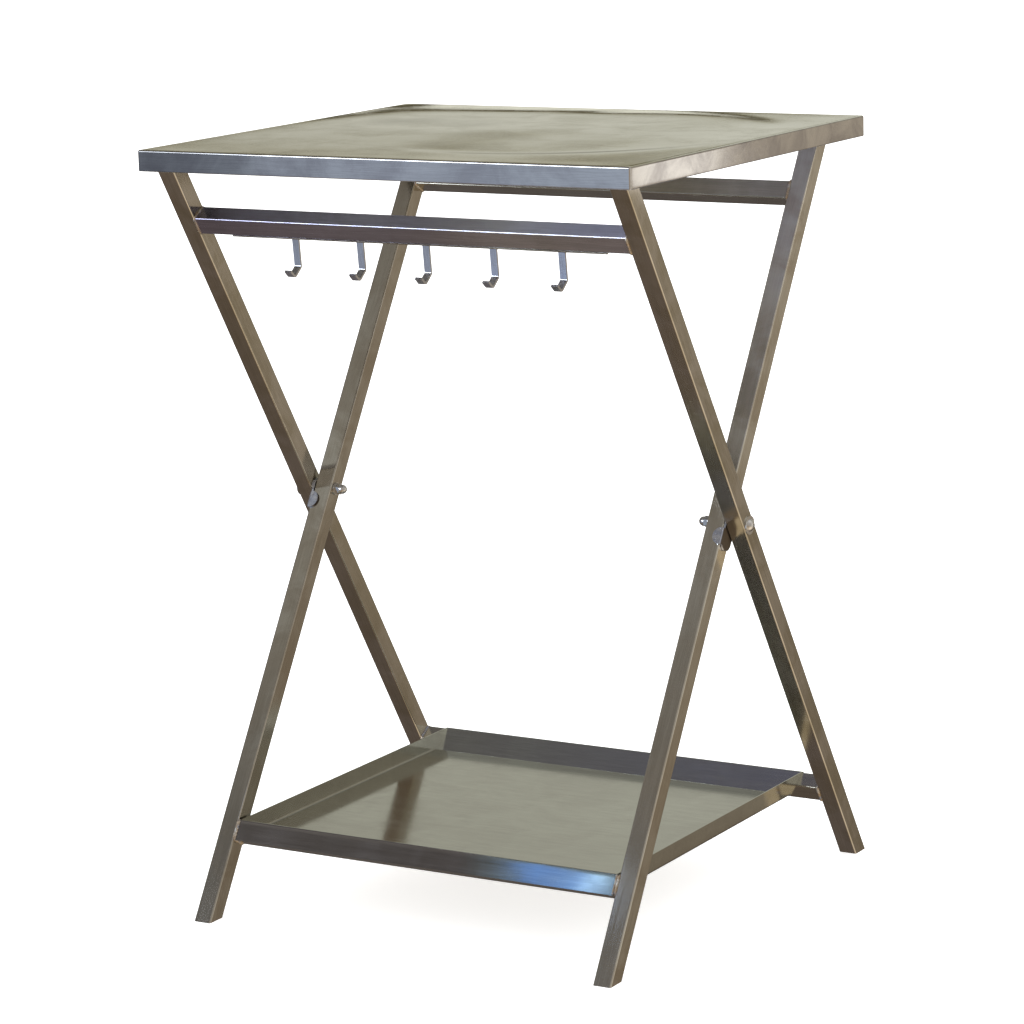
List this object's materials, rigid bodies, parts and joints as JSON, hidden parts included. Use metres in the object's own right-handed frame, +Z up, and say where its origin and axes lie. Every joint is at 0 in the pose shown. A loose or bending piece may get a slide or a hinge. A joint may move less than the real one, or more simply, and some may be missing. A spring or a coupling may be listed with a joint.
{
  "type": "folding work stand",
  "caption": "Folding X-leg stainless work stand with a lift-off rimmed top, a rail of tool hooks and a lift-off lower tray.",
  "frame": {"origin": "on the floor under the centre of the stand, open and standing on its four feet", "axes": "+X to the right along the front edge, +Y from the front (hook side) to the back, +Z up"},
  "size_m": [0.7, 0.6618, 0.993],
  "materials": {
    "tabletop_sheet": "thin stainless sheet, fine satin polish with soft mirror reflections and slight waviness",
    "tray_sheet": "thin stainless sheet with a fine straight grain along X",
    "brushed_tube": "square stainless tube, linear brushed grain along its length",
    "hook_steel": "satin stainless flat bar",
    "polished_steel": "polished stainless hardware",
    "bush_steel": "plain turned steel"
  },
  "bodies": {
    "outer_frame": {"hook_rail": "brushed_tube", "rear_crossbar": "brushed_tube", "hook_strip": "brushed_tube", "hook_1": "hook_steel", "hook_2": "hook_steel", "hook_3": "hook_steel", "hook_4": "hook_steel", "hook_5": "hook_steel", "outer_leg_left": "brushed_tube", "outer_bush_left": "bush_steel", "outer_foot_cap_left": "brushed_tube", "outer_top_cap_left": "brushed_tube", "stop_plate_left": "polished_steel", "pivot_bolt_left": "polished_steel", "head_washer_left": "polished_steel", "nut_washer_left": "polished_steel", "dome_nut_left": "polished_steel", "outer_leg_right": "brushed_tube", "outer_bush_right": "bush_steel", "outer_foot_cap_right": "brushed_tube", "outer_top_cap_right": "brushed_tube", "stop_plate_right": "polished_steel", "pivot_bolt_right": "polished_steel", "head_washer_right": "polished_steel", "nut_washer_right": "polished_steel", "dome_nut_right": "polished_steel"},
    "inner_frame": {"back_top_rail": "brushed_tube", "front_crossbar": "brushed_tube", "inner_leg_left": "brushed_tube", "inner_bush_left": "bush_steel", "inner_foot_cap_left": "brushed_tube", "inner_top_cap_left": "brushed_tube", "inner_leg_right": "brushed_tube", "inner_bush_right": "bush_steel", "inner_foot_cap_right": "brushed_tube", "inner_top_cap_right": "brushed_tube"},
    "top_panel": {"tabletop": "tabletop_sheet"},
    "tray_panel": {"tray": "tray_sheet"}
  },
  "joints": [
    {"name": "frame_fold", "type": "hinge", "parent": "outer_frame", "child": "inner_frame", "pos_m": [0, 0, 0.51], "axis": [1, 0, 0], "range_deg": [0, 59.5]},
    {"name": "tabletop_lift", "type": "slide", "parent": "outer_frame", "child": "top_panel", "axis": [0, 0, 1], "range_m": [0, 0.4]},
    {"name": "tray_lift", "type": "slide", "parent": "outer_frame", "child": "tray_panel", "axis": [0, 0, 1], "range_m": [0, 0.22]}
  ],
  "couplings": [
    {"joint": "tabletop_lift", "follows": "frame_fold", "m_per_rad": 0.36},
    {"joint": "tray_lift", "follows": "frame_fold", "m_per_rad": 0.2}
  ]
}
